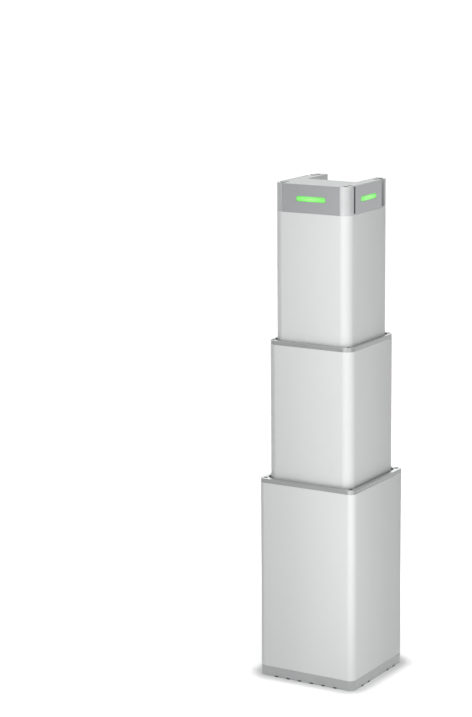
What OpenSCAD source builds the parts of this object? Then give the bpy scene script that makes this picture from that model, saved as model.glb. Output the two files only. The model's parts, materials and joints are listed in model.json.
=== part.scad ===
// Electric lifting column: three telescoping square aluminium tubes, driven by one motor
// in the base through two spindles. Millimetres, +Z up. The origin is the centre of the underside.
// It is drawn raised by stage_lift on each stage, with every joint at zero.

/* [Outer tube] */
// Width of the outer tube across its flats
outer_w = 180; // [170:1:200]
// Wall thickness of the outer tube
outer_wall = 4; // [3:0.5:5]
// Corner radius of the outer tube
outer_r = 12; // [10:1:14]
// Length of the outer tube
outer_len = 319.5; // [280:0.5:360]

/* [Middle tube] */
// Gap between the outer tube and the middle tube
middle_gap = 7.5; // [6.5:0.5:9]
// Wall thickness of the middle tube
middle_wall = 3.5; // [3:0.5:4]
// Corner radius of the middle tube
middle_r = 17; // [15:1:19]

/* [Inner tube] */
// Gap between the middle tube and the inner tube
inner_gap = 5; // [4:0.5:6]
// Wall thickness of the inner tube
inner_wall = 3; // [2.5:0.5:4]
// Corner radius of the inner tube
inner_r = 17; // [15:1:19]

/* [Pose and travel] */
// Length of the middle tube that is still inside the outer tube in the drawn pose
tube_overlap = 103.5; // [90:0.5:120]
// How far each stage can rise above the drawn pose
lift_left = 12; // [6:1:14]
// Gap between the outer rim and the middle rim when lowered
rim_gap_closed = 13.5; // [8:0.5:20]
// Gap between the middle rim and the head when lowered
head_gap_closed = 0.5; // [0.3:0.1:2]

/* [Rims and base] */
// Height of the base plate
base_h = 17; // [16:0.5:20]
// Height of each rim
rim_h = 7; // [6:0.5:9]
// Chamfer on the upper edges of the rims
rim_chamfer = 0.8; // [0.4:0.1:1.5]
// Clear width around a nested tube inside its rim
rim_opening = 3; // [2:0.25:3.5]
// Height of a wiper seal
wiper_h = 5; // [3:0.5:5.5]
// Gap that every sliding face keeps
glide = 0.3; // [0.2:0.05:0.4]

/* [Corner screws] */
// Distance of the outer tube's screw ports in from its faces
outer_port_in = 9.5; // [9:0.5:10]
// Bore of the outer tube's screw ports
outer_port_d = 4.2; // [3.6:0.2:4.6]
// Distance of the middle tube's screw ports in from its faces
middle_port_in = 8.3; // [8:0.1:8.6]
// Bore of the middle tube's screw ports
middle_port_d = 3.2; // [2.8:0.2:3.4]
// Distance of the inner tube's screw ports in from its faces
inner_port_in = 12; // [11.5:0.5:13]
// Bore of the inner tube's screw ports
inner_port_d = 5.2; // [4.6:0.2:5.6]
// Wall around a screw port
port_wall = 1.8; // [1.6:0.1:2]

/* [Glide pads] */
// Height of each glide pad
pad_h = 35; // [28:1:36]
// Width of each glide pad
pad_w = 22; // [16:1:24]
// Distance from a nested tube's corner in to the middle of its pads
pad_in = 33; // [30:0.5:36]

/* [Gear train] */
// Gear module
gear_module = 1.5; // [1.45:0.01:1.55]
// Teeth of the motor pinion
pinion_teeth = 20; // [19:1:21]
// Teeth of each spindle gear
gear_teeth = 40; // [39:1:41]
// Width of the gear faces
gear_face = 7; // [6:0.5:8]
// Distance between the two spindle axes
spindle_pitch = 72; // [71:0.5:74]
// Height of the gear housing
housing_h = 12; // [11:0.5:14]

/* [Spindles] */
// Outside diameter of the spindle threads
spindle_d = 20; // [19:0.5:21]
// Bore of the upper spindle
spindle_bore = 13.5; // [12.5:0.5:14]
// Width across the corners of the hexagonal shaft
hex_d = 10; // [9:0.5:10.5]
// Outside diameter of a spindle nut
nut_d = 28; // [26:1:29]
// Height of a spindle nut
nut_h = 24; // [18:1:28]
// Journal diameter of the lower spindle and bore of its bearing
lower_journal_d = 15; // [14:0.5:16]
// Journal diameter of the upper spindle and bore of its bearing
upper_journal_d = 17; // [16.5:0.5:18]
// Outside diameter of a stop collar
collar_d = 30; // [26:1:32]
// Height of a stop collar
collar_h = 8; // [5:0.5:9]

/* [Motor and electronics] */
// Diameter of the motor
motor_d = 50; // [46:1:52]
// Length of the motor's body
motor_len = 100; // [80:1:130]
// Height of the motor's end cap
motor_cap_h = 18; // [12:1:25]
// Diameter of the motor's shaft
motor_shaft_d = 8; // [6:0.5:9]
// Thickness of the control box, across the column
control_t = 24; // [20:0.5:25]
// Width of the control box
control_w = 62; // [50:1:66]
// Height of the control box
control_h = 96; // [80:1:120]

/* [Carriers] */
// Thickness of each stage's carrier plate
carrier_t = 12; // [12:0.5:14]
// Gap under the middle carrier when lowered
carrier_gap = 6; // [5:0.5:8]
// Gap under the inner tube when lowered
inner_foot_gap = 3; // [2:0.5:5]

/* [Head] */
// Height of the head
head_h = 46.5; // [42:0.5:52]
// Width of the two arms beside the notch in the head
arm_w = 24; // [22:0.5:28]
// How far behind the centre the notch begins
notch_y = 0; // [-4:1:10]
// Thickness of a head panel
panel_t = 3.3; // [2.5:0.1:3.5]
// Width of the posts beside the front panel
front_post_w = 16.5; // [15:0.5:20]
// Width of the post in front of each side panel
side_post_w = 23; // [20:0.5:25]
// Width of the post behind each side panel
rear_post_w = 27; // [24:0.5:30]
// Depth of the grooves between the side panels and the corner posts
groove_depth = 6; // [4:0.5:6.5]
// Length of a light bar
light_len = 53; // [46:1:62]
// Height of a light bar
light_h = 8.5; // [7:0.5:13]

/* [Mounts] */
// Distance of the threaded holes in the underside in from the faces
base_hole_in = 25; // [22:0.5:30]
// Diameter of the threaded holes in the underside
base_hole_d = 8.5; // [7:0.5:9]
// Distance of the threaded holes in the head in from its sides
head_hole_in_x = 12; // [11:0.5:13]
// Distance of the threaded holes in the head in from its front and rear
head_hole_in_y = 26; // [24:0.5:28]
// Diameter of the threaded holes in the head
head_hole_d = 6.8; // [5:0.2:7]

/* [Hidden] */
$fn = 64;

// Colours
ALUMINIUM = "#dfe1e2";
RIM_GREY = "#b2b5b6";
PANEL_GREY = "#a3a6a7";
STEEL = "#9a9ea2";
BRASS = "#c9a75a";
BLACK = "#26282a";
NYLON = "#f1efe8";
GREEN = "#7df564";
BOARD_GREEN = "#2f6b45";

// Small clearances
fit = 0.05;      // radial clearance of a running fit
seat = 0.1;      // clearance between pieces that are fixed together
over = 1;        // how far a cutting shape runs past the face that it cuts

// Widths of the nested tubes
middle_w = outer_w - 2*outer_wall - 2*middle_gap;
inner_w = middle_w - 2*middle_wall - 2*inner_gap;

// Heights, from the underside up; each stage is raised by stage_lift
middle_foot_gap = 3;
stage_lift = outer_len - tube_overlap - middle_foot_gap;
outer_top = base_h + outer_len;
outer_rim_top = outer_top + rim_h;
middle_top = outer_rim_top + rim_gap_closed + stage_lift;
middle_rim_top = middle_top + rim_h;
inner_top = middle_rim_top + head_gap_closed + stage_lift;
head_top = inner_top + head_h;
housing_top = base_h + housing_h;
middle_bottom = base_h + middle_foot_gap + stage_lift;
middle_carrier_z = housing_top + carrier_gap + stage_lift;
middle_carrier_top = middle_carrier_z + carrier_t;
inner_bottom = middle_carrier_top + inner_foot_gap + stage_lift;
inner_carrier_top = inner_bottom + carrier_t;

// Gear train: the pinion drives both spindle gears at the same centre distance
centre_distance = gear_module*(pinion_teeth + gear_teeth)/2;
spindle_y = spindle_pitch/2;
motor_x = -sqrt(centre_distance*centre_distance - spindle_y*spindle_y);
mesh_angle = atan2(spindle_y, -motor_x);
gear_outer_r = gear_module*(gear_teeth/2 + 1);
pinion_outer_r = gear_module*(pinion_teeth/2 + 1);
pocket_gap = 1.5;
pocket_floor = base_h - gear_face - 3;
gear_z = pocket_floor + 1.5;
pressure_angle = 20;
backlash = 0.18;

// Shafts and bearings
bush_d = 16;
bush_h = 4;
bush_z = pocket_floor - bush_h;
lower_pivot_d = 10;
hex_pivot_d = 8;
hex_journal_d = 12;
lower_bearing_d = 35;
lower_bearing_h = 10;
hex_bearing_d = 28;
hex_bearing_h = 8;
upper_bearing_d = 30;
upper_bearing_h = 7;
bearing_groove = 0.6;
circlip_h = 1.4;
upper_journal_bottom = middle_carrier_z - circlip_h - 2.6;
collar_gap = 2;
lower_nut_top = middle_carrier_z + nut_h;
lower_collar_z = lower_nut_top + lift_left + collar_gap;
upper_nut_top = inner_bottom + nut_h;
upper_collar_z = upper_nut_top + lift_left + collar_gap;
hex_bush_len = 20;
hex_shaft_top = upper_journal_bottom + lift_left + hex_bush_len + 6;

// Nut flanges: two lugs square to the line from the motor to the spindle
flange_h = 6;
lug_r = 6;
lug_reach = nut_d/2 + 8;
lug_angle = 90 - mesh_angle;
nut_screw_d = 4;

// Motor mounting
motor_gap = 2;
motor_screw_r = 19;
motor_screw_d = 4;
shaft_in_motor = 25;

// Control box
control_gap = 3;
carrier_edge = 8.5;
control_x = inner_w/2 - inner_wall - carrier_edge - control_gap - control_t;
control_wall = 2;
slot_pitch = 6;
slot_h = 2.5;
slot_in = 6;
board_t = 1.6;
board_back = 4;
part_h = 11;
relay_w = 14;
relay_l = 20;
relay_in = 8;
connector_w = 18;
connector_l = 22;
connector_in = 12;
capacitor_d = 14;

// Head
panel_recess = panel_t + 0.2;
head_wall = 2.5;
head_top_wall = 8;
notch_wall = 4;
notch_floor = 6;
notch_corner_r = 5;
corner_block = 22;
notch_half_w = inner_w/2 - arm_w;
front_panel_half_w = inner_w/2 - front_post_w;
side_panel_front = side_post_w - inner_w/2;
side_panel_rear = inner_w/2 - rear_post_w;
side_panel_mid = (side_panel_front + side_panel_rear)/2;
light_z = inner_top + head_h/2;
light_flange = 3.5;
light_flange_t = 2;
light_corner_r = 1.5;
light_board_t = 1.6;
light_board_l = light_len + 2*light_flange;
light_board_h = light_h + 2*light_flange - 1;
light_depth = panel_recess + head_wall;
head_hole_depth = 16;
head_screw_d = 5;
head_screw_head_d = 10;
groove_floor = 2;
head_screw_head_h = 5;
head_screw_bite = 12;

// Sockets in the rear of the base plate
socket_z = base_h/2;
socket_h = 10.5;
socket_depth = 14;
power_socket_w = 18;
power_socket_x = -25;
data_socket_w = 13;
data_socket_x = 25;

// Drain notches along the lower edge of the base plate
drain_pitch = 22.5;
drain_w = 5;
drain_h = 1.5;
drain_depth = 3;

// Screws
outer_rim_screw_d = 4;
outer_rim_head_d = 7;
middle_rim_screw_d = 3;
middle_rim_head_d = 5.6;
rim_head_h = 2.4;
rim_screw_len = 16;
base_screw_len = 30;
base_head_h = 4;
housing_screw_d = 5;
housing_gap = 3;
housing_l = middle_w - 2*middle_wall - 2*housing_gap;
housing_w = housing_l - 14;
housing_r = 18;
housing_screw_in = 13.5;
carrier_screw_d = 5;
carrier_screw_x = 24;
carrier_screw_len = 11;
throat_w = 20;
base_hole_depth = 14;

// ---------------------------------------------------------------- shared shapes

// A square with rounded corners, centred on the origin
module rounded_square(w, r) {
    square([w - 2*r, w], center = true);
    square([w, w - 2*r], center = true);
    for (x = [-1, 1], y = [-1, 1])
        translate([x*(w/2 - r), y*(w/2 - r)]) circle(r);
}

// A rectangle with rounded corners, centred on the origin
module rounded_rectangle(w, l, r) {
    square([w - 2*r, l], center = true);
    square([w, l - 2*r], center = true);
    for (x = [-1, 1], y = [-1, 1])
        translate([x*(w/2 - r), y*(l/2 - r)]) circle(r);
}

// A rounded-square prism from z0 to z1
module prism(w, r, z0, z1) {
    translate([0, 0, z0]) linear_extrude(z1 - z0) rounded_square(w, r);
}

// Children repeated at the four corners of a square, each turned to face out
module at_corners(inset) {
    for (turn = [0:90:270])
        rotate(turn) translate([inset, inset, 0]) children();
}

// The metal around a screw port, with a slightly narrower web out into the corner of its tube
module port_shape(r) {
    web_half_w = 0.9*r;
    circle(r);
    rotate(45) translate([0, -web_half_w]) square([2*r, 2*web_half_w]);
}

// An extruded square tube with a screw port in each corner
module tube(w, wall, r, z0, z1, port_in, port_d) {
    port_r = port_d/2 + port_wall;
    difference() {
        prism(w, r, z0, z1);
        difference() {
            prism(w - 2*wall, r - wall, z0 - over, z1 + over);
            translate([0, 0, z0 - 2*over]) linear_extrude(z1 - z0 + 4*over)
                at_corners(w/2 - port_in) port_shape(port_r);
        }
        translate([0, 0, z0 - over]) at_corners(w/2 - port_in)
            cylinder(d = port_d, h = z1 - z0 + 2*over);
    }
}

// A rounded-square plate with chamfered upper edges, standing on z = 0
module chamfered_plate(w, r, h, c) {
    a = w/2 - r;
    side = [[-w/2, 0], [w/2, 0], [w/2, h - c], [w/2 - c, h], [c - w/2, h], [-w/2, h - c]];
    for (x = [-a, a], y = [-a, a]) translate([x, y, 0])
        rotate_extrude() polygon([[0, 0], [r, 0], [r, h - c], [r - c, h], [0, h]]);
    for (turn = [0, 90])
        rotate(turn) rotate([90, 0, 0]) translate([0, 0, -a]) linear_extrude(2*a) polygon(side);
}

// A rim frame that closes the top of one tube round the next
module rim(w, r, nested_w, nested_r, z0, port_in, screw_d, head_d) {
    opening_w = nested_w + 2*rim_opening;
    difference() {
        translate([0, 0, z0]) chamfered_plate(w, r, rim_h, rim_chamfer);
        prism(opening_w, nested_r - 1, z0 - over, z0 + rim_h + over);
        translate([0, 0, z0]) at_corners(w/2 - port_in) {
            translate([0, 0, -over]) cylinder(d = screw_d + 2*seat, h = rim_h + 2*over);
            translate([0, 0, rim_h - rim_head_h]) cylinder(d = head_d + 4*seat, h = rim_head_h + over);
        }
    }
}

// Four pan-head screws with hexagon sockets, their heads ending at z
module corner_screws(inset, z, d, head_d, head_h, len, up = 1) {
    socket_d = d;
    translate([0, 0, z]) mirror([0, 0, up > 0 ? 0 : 1]) at_corners(inset) difference() {
        union() {
            translate([0, 0, -head_h]) cylinder(d = head_d, h = head_h);
            translate([0, 0, -head_h - len]) cylinder(d = d, h = len + head_h/2);
        }
        translate([0, 0, -head_h*0.6]) cylinder(d = socket_d, h = head_h, $fn = 6);
    }
}

// A wiper seal round a nested tube
module wiper(nested_w, nested_r, z0) {
    difference() {
        prism(nested_w + 2*rim_opening - 2*seat, nested_r - 1, z0, z0 + wiper_h);
        prism(nested_w + 2*glide, nested_r + glide, z0 - over, z0 + wiper_h + over);
    }
}

// Eight pads, two to a side, filling the gap between two tubes; the face in contact is at "from"
module pads(from, to, x, z0) {
    for (turn = [0:90:270], side = [-1, 1])
        rotate(turn) translate([side*x - pad_w/2, from, z0]) difference() {
            cube([pad_w, to - from, pad_h]);
            translate([pad_w/2 - 1, -over, -over]) cube([2, over + 0.8, pad_h + 2*over]);
        }
}

// A sealed ball bearing standing on z = 0: the groove shows where the races part
module bearing(bore, d, h) {
    mid = (bore + d)/4;
    difference() {
        cylinder(d = d, h = h);
        translate([0, 0, -over]) cylinder(d = bore, h = h + 2*over);
        for (z = [-over, h - bearing_groove]) translate([0, 0, z]) difference() {
            cylinder(r = mid + (d - bore)/10, h = over + bearing_groove);
            translate([0, 0, -over]) cylinder(r = mid - (d - bore)/10, h = 3*over + bearing_groove);
        }
    }
}

// Involute function and the half-angle of a tooth at radius rr
function inv(a) = tan(a)*180/PI - a;
function half_angle(z, rr) =
    let (rp = gear_module*z/2, rb = rp*cos(pressure_angle), a = rr > rb ? acos(rb/rr) : 0)
    (PI*gear_module/2 - backlash)/(2*rp)*180/PI + inv(pressure_angle) - inv(a);

// Outline of a spur gear with its first tooth at the given angle
module gear_shape(z, first) {
    rp = gear_module*z/2;
    root = rp - 1.25*gear_module;
    base = max(root + 0.1, rp*cos(pressure_angle));
    tip = rp + 0.95*gear_module;
    steps = 3;
    radii = [root, for (i = [0:steps]) base + (tip - base)*i/steps];
    polygon([for (k = [0:z - 1], side = [-1, 1], i = [0:steps + 1])
        let (rr = radii[side < 0 ? i : steps + 1 - i],
             a = first + k*360/z + side*half_angle(z, rr))
        [rr*cos(a), rr*sin(a)]]);
}

// Angle of a driven gear's first tooth, where the pinion's first tooth points along +X
function driven_angle(line) =
    line + 180 - 360/gear_teeth*(0.5 - line/(360/pinion_teeth));

// A spindle gear with a hub, a thin web and six round windows
module spindle_gear(bore, line) {
    hub_r = bore/2 + 4;
    rim_r = gear_outer_r - 3.2*gear_module;
    window_r = (rim_r - hub_r)/2 - 1.5;
    difference() {
        translate([0, 0, gear_z]) linear_extrude(gear_face) gear_shape(gear_teeth, driven_angle(line));
        translate([0, 0, gear_z - over]) cylinder(d = bore, h = gear_face + 2*over);
        translate([0, 0, gear_z + gear_face*0.7]) difference() {
            cylinder(r = rim_r, h = gear_face);
            translate([0, 0, -over]) cylinder(r = hub_r, h = gear_face + 2*over);
        }
        for (a = [0:60:300]) rotate(a) translate([(rim_r + hub_r)/2, 0, gear_z - over])
            cylinder(r = window_r, h = gear_face + 2*over);
    }
}

// Plan of a nut flange: a disc with two screw lugs
module flange_shape(grow) {
    circle(nut_d/2 + 1 + grow);
    for (side = [0, 180]) rotate(side) {
        translate([0, -lug_r - grow]) square([lug_reach, 2*(lug_r + grow)]);
        translate([lug_reach, 0]) circle(lug_r + grow);
    }
}

// A bronze spindle nut with its flange let into the carrier, standing on z = 0
module spindle_nut(turn) {
    rotate(turn) difference() {
        union() {
            cylinder(d = nut_d, h = nut_h);
            translate([0, 0, carrier_t - flange_h]) linear_extrude(flange_h) flange_shape(0);
        }
        translate([0, 0, -over]) cylinder(d = spindle_d + 2*fit, h = nut_h + 2*over);
        for (side = [-1, 1]) translate([side*lug_reach, 0, 0]) {
            cylinder(d = nut_screw_d + 2*seat, h = nut_h);
            translate([0, 0, carrier_t - 2.4]) cylinder(d = 7.4, h = nut_h);
        }
    }
}

// The seat of a nut in a carrier plate
module nut_seat(turn) {
    rotate(turn) {
        translate([0, 0, -over]) cylinder(d = nut_d + 2*seat, h = carrier_t + 2*over);
        translate([0, 0, carrier_t - flange_h - seat]) linear_extrude(flange_h + over) flange_shape(seat);
        for (side = [-1, 1]) translate([side*lug_reach, 0, -over])
            cylinder(d = nut_screw_d + 2*fit, h = carrier_t + over);
    }
}

// The two screws of a nut flange, standing in the carrier
module nut_screws(turn) {
    rotate(turn) for (side = [-1, 1]) translate([side*lug_reach, 0, 0]) difference() {
        union() {
            translate([0, 0, 1]) cylinder(d = nut_screw_d, h = carrier_t - 3);
            translate([0, 0, carrier_t - 2.2]) cylinder(d = 7, h = 2.2);
        }
        translate([0, 0, carrier_t - 1.4]) cylinder(d = 3, h = 2, $fn = 6);
    }
}

// Blank of a carrier plate inside a tube, with room for the motor and the control box
module carrier_blank(w, r) {
    difference() {
        linear_extrude(carrier_t) rounded_square(w, r);
        translate([motor_x, 0, -over]) cylinder(d = motor_d + 2*motor_gap, h = carrier_t + 2*over);
        translate([control_x - control_gap, -control_w/2 - control_gap, -over])
            cube([control_t + 2*control_gap, control_w + 2*control_gap, carrier_t + 2*over]);
    }
}

// Corner reliefs in a carrier plate, round the tube's screw ports
module port_reliefs(w, port_in, port_d) {
    translate([0, 0, -over]) linear_extrude(carrier_t + 2*over)
        at_corners(w/2 - port_in) port_shape(port_d/2 + port_wall + 2*seat);
}

// Eight countersunk screws, two to a side, along the middle of a carrier's edge
module edge_screws(w, grow, from) {
    for (turn = [0:90:270], side = [-1, 1])
        rotate(turn) translate([side*carrier_screw_x, w/2, carrier_t/2]) rotate([90, 0, 0]) {
            translate([0, 0, from]) cylinder(d = carrier_screw_d + 2*grow, h = carrier_screw_len - from);
            translate([0, 0, from]) cylinder(d = 1.8*carrier_screw_d + 2*grow, h = 2 - from);
        }
}

// ---------------------------------------------------------------- base

module base_plate() color(RIM_GREY) difference() {
    prism(outer_w, outer_r, 0, base_h);
    // Pocket of the gear train, open to the gear housing above
    translate([0, 0, pocket_floor]) {
        for (y = [-spindle_y, spindle_y]) translate([0, y, 0])
            cylinder(r = gear_outer_r + pocket_gap, h = base_h);
        translate([motor_x, 0, 0]) cylinder(r = pinion_outer_r + pocket_gap, h = base_h);
    }
    for (y = [-spindle_y, spindle_y]) translate([0, y, bush_z - seat])
        cylinder(d = bush_d + 2*seat, h = base_h);
    // Threaded mounting holes
    at_corners(outer_w/2 - base_hole_in) translate([0, 0, -over])
        cylinder(d = base_hole_d, h = base_hole_depth + over);
    // Counterbored holes for the tube's screws
    at_corners(outer_w/2 - outer_port_in) {
        translate([0, 0, -over]) cylinder(d = outer_rim_screw_d + 4*seat, h = base_h + 2*over);
        translate([0, 0, -over]) cylinder(d = outer_rim_head_d + 4*seat, h = base_head_h + over + 0.6);
    }
    housing_screw_places() translate([0, 0, pocket_floor - 1])
        cylinder(d = housing_screw_d + 2*fit, h = base_h);
    // Sockets
    socket_space(power_socket_x, power_socket_w);
    socket_space(data_socket_x, data_socket_w);
    // Drain notches: six in front and behind, four on each side
    for (turn = [0:90:270], k = [-2.5:2.5]) if (abs(k) > 1 || turn % 180 == 0)
        rotate(turn) translate([k*drain_pitch - drain_w/2, outer_w/2 - drain_depth, -over])
            cube([drain_w, drain_depth + over, drain_h + over]);
}

module socket_space(x, w) {
    translate([x - w/2 - seat, outer_w/2 - socket_depth - seat, socket_z - socket_h/2 - seat])
        cube([w + 2*seat, socket_depth + seat + over, socket_h + 2*seat]);
}

module housing_screw_places() {
    for (x = [-1, 1], y = [-1, 1])
        translate([x*(housing_w/2 - housing_screw_in), y*(housing_l/2 - housing_screw_in), 0]) children();
}

module base_bushes() color(BRASS) for (side = [-1, 1]) translate([0, side*spindle_y, bush_z])
    difference() {
        cylinder(d = bush_d, h = bush_h);
        translate([0, 0, -over])
            cylinder(d = (side < 0 ? lower_pivot_d : hex_pivot_d) + 2*fit, h = bush_h + 2*over);
    }

module base_screws() color(STEEL)
    corner_screws(outer_w/2 - outer_port_in, 0.6, outer_rim_screw_d, outer_rim_head_d,
        base_head_h, base_screw_len, up = -1);

// A shrouded power socket with two rows of pins
module power_socket() color(BLACK)
    translate([power_socket_x, outer_w/2 - socket_depth, socket_z]) {
        difference() {
            translate([-power_socket_w/2, 0, -socket_h/2])
                cube([power_socket_w, socket_depth, socket_h]);
            translate([-power_socket_w/2 + 1.2, 3, -socket_h/2 + 1.2])
                cube([power_socket_w - 2.4, socket_depth, socket_h - 2.4]);
        }
        for (x = [-1:1], z = [-1, 1]) translate([x*power_socket_w/4 - 0.7, 2, z*2 - 0.7])
            cube([1.4, socket_depth - 8, 1.4]);
    }

// A modular data socket with its latch slot
module data_socket() color(BLACK)
    translate([data_socket_x, outer_w/2 - socket_depth, socket_z]) difference() {
        translate([-data_socket_w/2, 0, -socket_h/2]) cube([data_socket_w, socket_depth, socket_h]);
        translate([-data_socket_w/2 + 1.5, 3, -socket_h/2 + 3])
            cube([data_socket_w - 3, socket_depth, socket_h - 4.2]);
        translate([-2, 3, -socket_h/2 + 1.2]) cube([4, socket_depth, 4]);
    }

module gear_housing() color(ALUMINIUM) difference() {
    translate([0, 0, base_h]) linear_extrude(housing_h)
        rounded_rectangle(housing_w, housing_l, housing_r);
    // Bearing seats, open upwards
    translate([0, -spindle_y, housing_top - lower_bearing_h])
        cylinder(d = lower_bearing_d + 2*fit, h = lower_bearing_h + over);
    translate([0, spindle_y, housing_top - hex_bearing_h])
        cylinder(d = hex_bearing_d + 2*fit, h = hex_bearing_h + over);
    translate([0, -spindle_y, base_h - over]) cylinder(d = lower_journal_d + 5, h = housing_h);
    translate([0, spindle_y, base_h - over]) cylinder(d = hex_journal_d + 5, h = housing_h);
    translate([motor_x, 0, base_h - over]) {
        cylinder(d = motor_shaft_d + 3, h = housing_h + 2*over);
        for (a = [45:90:315]) rotate(a) translate([motor_screw_r, 0, 0]) {
            cylinder(d = motor_screw_d + 2*seat, h = housing_h + 2*over);
            cylinder(d = 7.6, h = over + 4.4);
        }
    }
    housing_screw_places() translate([0, 0, base_h - over])
        cylinder(d = housing_screw_d + 2*seat, h = housing_h + 2*over);
}

module housing_screws() color(STEEL) housing_screw_places() translate([0, 0, housing_top])
    difference() {
        union() {
            cylinder(d = 1.7*housing_screw_d, h = 3);
            translate([0, 0, pocket_floor - housing_top])
                cylinder(d = housing_screw_d, h = housing_top - pocket_floor + 1);
        }
        translate([0, 0, 1.2]) cylinder(d = 0.8*housing_screw_d, h = 3, $fn = 6);
    }

module lower_spindle_bearing() color(STEEL)
    translate([0, -spindle_y, housing_top - lower_bearing_h])
        bearing(lower_journal_d + 2*fit, lower_bearing_d, lower_bearing_h);

module hex_shaft_bearing() color(STEEL)
    translate([0, spindle_y, housing_top - hex_bearing_h])
        bearing(hex_journal_d + 2*fit, hex_bearing_d, hex_bearing_h);

// ---------------------------------------------------------------- motor and electronics

module motor_body() color(STEEL) translate([motor_x, 0, housing_top]) difference() {
    union() {
        cylinder(d = motor_d, h = motor_len);
        // Crimped band where the can meets the end cap
        translate([0, 0, motor_len - 6]) cylinder(d = motor_d + 1, h = 3);
    }
    translate([0, 0, -over]) cylinder(d = motor_shaft_d + 2*fit, h = shaft_in_motor + 2 + over);
    for (a = [45:90:315]) rotate(a) translate([motor_screw_r, 0, -over])
        cylinder(d = motor_screw_d + 2*fit, h = 8 + over);
}

module motor_end_cap() color(BLACK) translate([motor_x, 0, housing_top + motor_len]) {
    rotate_extrude() polygon([[0, 0], [motor_d/2, 0], [motor_d/2, motor_cap_h*0.6],
        [motor_d/2 - 3, motor_cap_h - 3], [10, motor_cap_h - 3], [10, motor_cap_h], [0, motor_cap_h]]);
    // Brush holder caps
    for (side = [-1, 1]) translate([0, side*(motor_d/2 - 8), 0]) cylinder(d = 9, h = motor_cap_h - 1);
}

module motor_screws() color(STEEL) translate([motor_x, 0, base_h]) for (a = [45:90:315])
    rotate(a) translate([motor_screw_r, 0, 0]) difference() {
        union() {
            translate([0, 0, 0.4]) cylinder(d = 7, h = 3);
            cylinder(d = motor_screw_d, h = housing_h + 7);
        }
        translate([0, 0, -over]) cylinder(d = 3, h = over + 2, $fn = 6);
    }

// The pinion is one piece with the motor's shaft
module motor_pinion() color(STEEL) translate([motor_x, 0, 0]) {
    translate([0, 0, gear_z]) linear_extrude(gear_face) gear_shape(pinion_teeth, 0);
    translate([0, 0, gear_z + gear_face/2])
        cylinder(d = motor_shaft_d, h = housing_top + shaft_in_motor - gear_z - gear_face/2);
}

module control_box() color(BLACK)
    translate([control_x, -control_w/2, housing_top]) difference() {
        cube([control_t - control_wall - seat, control_w, control_h]);
        translate([control_wall, control_wall, control_wall])
            cube([control_t, control_w - 2*control_wall, control_h - 2*control_wall]);
    }

module control_box_lid() color(BLACK)
    translate([control_x + control_t - control_wall, -control_w/2, housing_top]) difference() {
        cube([control_wall, control_w, control_h]);
        // Cooling slots
        for (k = [0:5]) translate([-over, control_wall + slot_in, control_h*0.35 + k*slot_pitch])
            cube([control_wall + 2*over, control_w - 2*(control_wall + slot_in), slot_h]);
    }

module control_board() color(BOARD_GREEN)
    translate([control_x + control_wall, -control_w/2 + control_wall, housing_top + control_wall]) {
        // Board, two relays, a capacitor and a connector block
        translate([board_back, seat, seat])
            cube([board_t, control_w - 2*(control_wall + seat), control_h - 2*(control_wall + seat)]);
        for (k = [0, 1]) translate([board_back, relay_in + k*(relay_w + 4), control_h/2])
            cube([board_t + part_h, relay_w, relay_l]);
        translate([board_back, relay_in + relay_w/2, connector_in + connector_l/2])
            rotate([0, 90, 0]) cylinder(d = capacitor_d, h = board_t + part_h);
        translate([board_back, control_w - 2*control_wall - connector_in/2 - connector_w, connector_in])
            cube([board_t + part_h, connector_w, connector_l]);
        // Standoffs to the back of the box
        for (y = [slot_in, control_w - 2*control_wall - slot_in],
             z = [relay_in, control_h - 2*control_wall - relay_in])
            translate([seat, y, z]) rotate([0, 90, 0]) cylinder(d = 5, h = board_back);
    }

// ---------------------------------------------------------------- outer stage

module outer_tube() color(ALUMINIUM)
    tube(outer_w, outer_wall, outer_r, base_h, outer_top, outer_port_in, outer_port_d);

module outer_rim() color(RIM_GREY)
    rim(outer_w, outer_r, middle_w, middle_r, outer_top, outer_port_in, outer_rim_screw_d, outer_rim_head_d);

module outer_rim_screws() color(STEEL)
    corner_screws(outer_w/2 - outer_port_in, outer_rim_top - 0.3, outer_rim_screw_d,
        outer_rim_head_d, rim_head_h - 0.4, rim_screw_len);

module outer_wiper() color(BLACK) wiper(middle_w, middle_r, outer_top + (rim_h - wiper_h)/2);

module outer_guide_pads() color(NYLON)
    pads(middle_w/2 + glide, outer_w/2 - outer_wall, middle_w/2 - pad_in, outer_top - pad_h - 2);

// ---------------------------------------------------------------- lower drive

module lower_spindle() color(STEEL) translate([0, -spindle_y, 0]) {
    translate([0, 0, bush_z + 0.3]) cylinder(d = lower_pivot_d, h = pocket_floor + 0.6 - bush_z);
    translate([0, 0, pocket_floor + 0.5]) cylinder(d = lower_journal_d, h = housing_top + 0.2 - pocket_floor);
    translate([0, 0, housing_top + 0.2]) cylinder(d = spindle_d, h = lower_collar_z - housing_top);
    translate([0, 0, lower_collar_z]) cylinder(d = 0.6*spindle_d, h = collar_h + 3);
}

module lower_spindle_gear() color(STEEL)
    translate([0, -spindle_y, 0]) spindle_gear(lower_journal_d, -mesh_angle);

module lower_stop_collar() color(STEEL)
    translate([0, -spindle_y, lower_collar_z + 0.2]) stop_collar();

module stop_collar() difference() {
    cylinder(d = collar_d, h = collar_h);
    translate([0, 0, -over]) cylinder(d = 0.6*spindle_d, h = collar_h + 2*over);
    // Set screw hole
    translate([0, 0, collar_h/2]) rotate([0, 90, 0]) cylinder(d = 3.3, h = collar_d);
}

module hex_shaft() color(STEEL) translate([0, spindle_y, 0]) {
    translate([0, 0, bush_z + 0.3]) cylinder(d = hex_pivot_d, h = pocket_floor + 0.6 - bush_z);
    translate([0, 0, pocket_floor + 0.5]) cylinder(d = hex_journal_d, h = housing_top + 0.2 - pocket_floor);
    translate([0, 0, housing_top]) cylinder(d = hex_d, h = hex_shaft_top - housing_top, $fn = 6);
}

module hex_shaft_gear() color(STEEL)
    translate([0, spindle_y, 0]) spindle_gear(hex_journal_d, mesh_angle);

// ---------------------------------------------------------------- middle stage

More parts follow.
